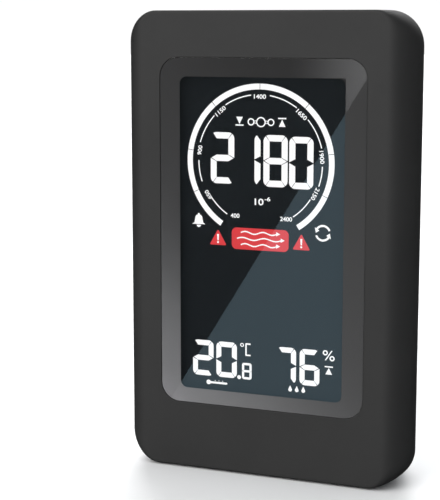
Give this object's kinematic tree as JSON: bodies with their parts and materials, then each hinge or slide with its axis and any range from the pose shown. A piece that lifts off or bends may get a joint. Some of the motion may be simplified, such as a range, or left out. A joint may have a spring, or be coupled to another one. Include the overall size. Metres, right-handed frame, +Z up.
{
  "type": "carbon dioxide monitor",
  "caption": "Upright desk carbon dioxide monitor: dark case, flush front window over a gauge display, fold-out rear leg, rear keys, slide switch and charging socket.",
  "frame": {"origin": "on the ground under the middle of the case, between its front and back", "axes": "+Z up, -Y out of the display side, +X to the right of someone who faces the display"},
  "size_m": [0.0962, 0.032, 0.148],
  "materials": {
    "case_plastic": "fine matt moulded texture",
    "cover_plastic": "fine matt moulded texture",
    "window_acrylic": "polished, border printed dark grey behind",
    "black_tape": "smooth adhesive tape",
    "polariser": "smooth film",
    "lcd_glass": "polished",
    "white_film": "satin film",
    "guide_acrylic": "clear moulded",
    "white_board": "white solder mask",
    "led_resin": "cast resin",
    "white_plastic": "moulded",
    "zebra_rubber": "striped silicone",
    "board_green": "green solder mask on glass epoxy",
    "chip_black": "moulded epoxy",
    "screw_steel": "zinc plated",
    "gold_plate": "gold plated",
    "filter_felt": "fibre membrane",
    "lamp_glass": "clear bulb",
    "can_steel": "nickel plated",
    "pin_brass": "tinned brass",
    "foam_tape": "closed-cell foam",
    "cell_foil": "heat sealed foil",
    "wire_cover": "soft insulation",
    "switch_plastic": "moulded",
    "plunger_plastic": "moulded",
    "key_plastic": "fine matt moulded",
    "flat_cable": "laminated",
    "gauze_cloth": "woven nylon",
    "foot_rubber": "soft matt"
  },
  "bodies": {
    "case": {"backlight_leds": "led_resin", "battery_cell": "cell_foil", "battery_circuit": "board_green", "battery_lead": "wire_cover", "battery_plug": "white_plastic", "battery_tape": "foam_tape", "board_screws": "screw_steel", "buzzer": "chip_black", "case_screws": "screw_steel", "climate_board": "board_green", "climate_pins": "pin_brass", "climate_sensor": "chip_black", "co2_board": "board_green", "co2_chamber": "gold_plate", "co2_detector": "can_steel", "co2_filter": "filter_felt", "co2_lamp": "lamp_glass", "co2_pins": "pin_brass", "control_board": "board_green", "control_ribbon": "flat_cable", "diffuser_film": "white_film", "front_housing": "case_plastic", "front_polariser": "polariser", "key_switches": "switch_plastic", "lcd_frame": "white_plastic", "lcd_front_glass": "lcd_glass", "lcd_rear_glass": "lcd_glass", "led_strip": "white_board", "lens_tape": "black_tape", "light_guide": "guide_acrylic", "main_board": "board_green", "main_board_screws": "screw_steel", "microcontroller": "chip_black", "power_board": "board_green", "power_ribbon": "flat_cable", "rear_cover": "cover_plastic", "rear_polariser": "polariser", "reflector_film": "white_film", "rubber_feet": "foot_rubber", "slide_switch": "can_steel", "stand_pin": "screw_steel", "usb_shell": "can_steel", "usb_tongue": "chip_black", "vent_gauze": "gauze_cloth", "window_lens": "window_acrylic", "zebra_strip": "zebra_rubber"},
    "leg": {"stand_leg": "cover_plastic", "stand_pad": "foot_rubber"},
    "slider": {"power_slider": "key_plastic"},
    "key_1": {"button_1": "key_plastic", "plunger_1": "plunger_plastic"},
    "key_2": {"button_2": "key_plastic", "plunger_2": "plunger_plastic"},
    "key_3": {"button_3": "key_plastic", "plunger_3": "plunger_plastic"},
    "key_4": {"button_4": "key_plastic", "plunger_4": "plunger_plastic"},
    "key_5": {"button_5": "key_plastic", "plunger_5": "plunger_plastic"}
  },
  "joints": [
    {"name": "leg_hinge", "type": "hinge", "parent": "case", "child": "leg", "pos_m": [0, 0.0132, 0.0785], "axis": [1, 0, 0], "range_deg": [0, 35]},
    {"name": "power_slide", "type": "slide", "parent": "case", "child": "slider", "axis": [0, 0, -1], "range_m": [0, 0.002]},
    {"name": "key_1_press", "type": "slide", "parent": "case", "child": "key_1", "axis": [0, -1, 0], "range_m": [0, 0.0005], "stiffness_N_per_m": 2000, "springref_m": -0.0002},
    {"name": "key_2_press", "type": "slide", "parent": "case", "child": "key_2", "axis": [0, -1, 0], "range_m": [0, 0.0005], "stiffness_N_per_m": 2000, "springref_m": -0.0002},
    {"name": "key_3_press", "type": "slide", "parent": "case", "child": "key_3", "axis": [0, -1, 0], "range_m": [0, 0.0005], "stiffness_N_per_m": 2000, "springref_m": -0.0002},
    {"name": "key_4_press", "type": "slide", "parent": "case", "child": "key_4", "axis": [0, -1, 0], "range_m": [0, 0.0005], "stiffness_N_per_m": 2000, "springref_m": -0.0002},
    {"name": "key_5_press", "type": "slide", "parent": "case", "child": "key_5", "axis": [0, -1, 0], "range_m": [0, 0.0005], "stiffness_N_per_m": 2000, "springref_m": -0.0002}
  ]
}
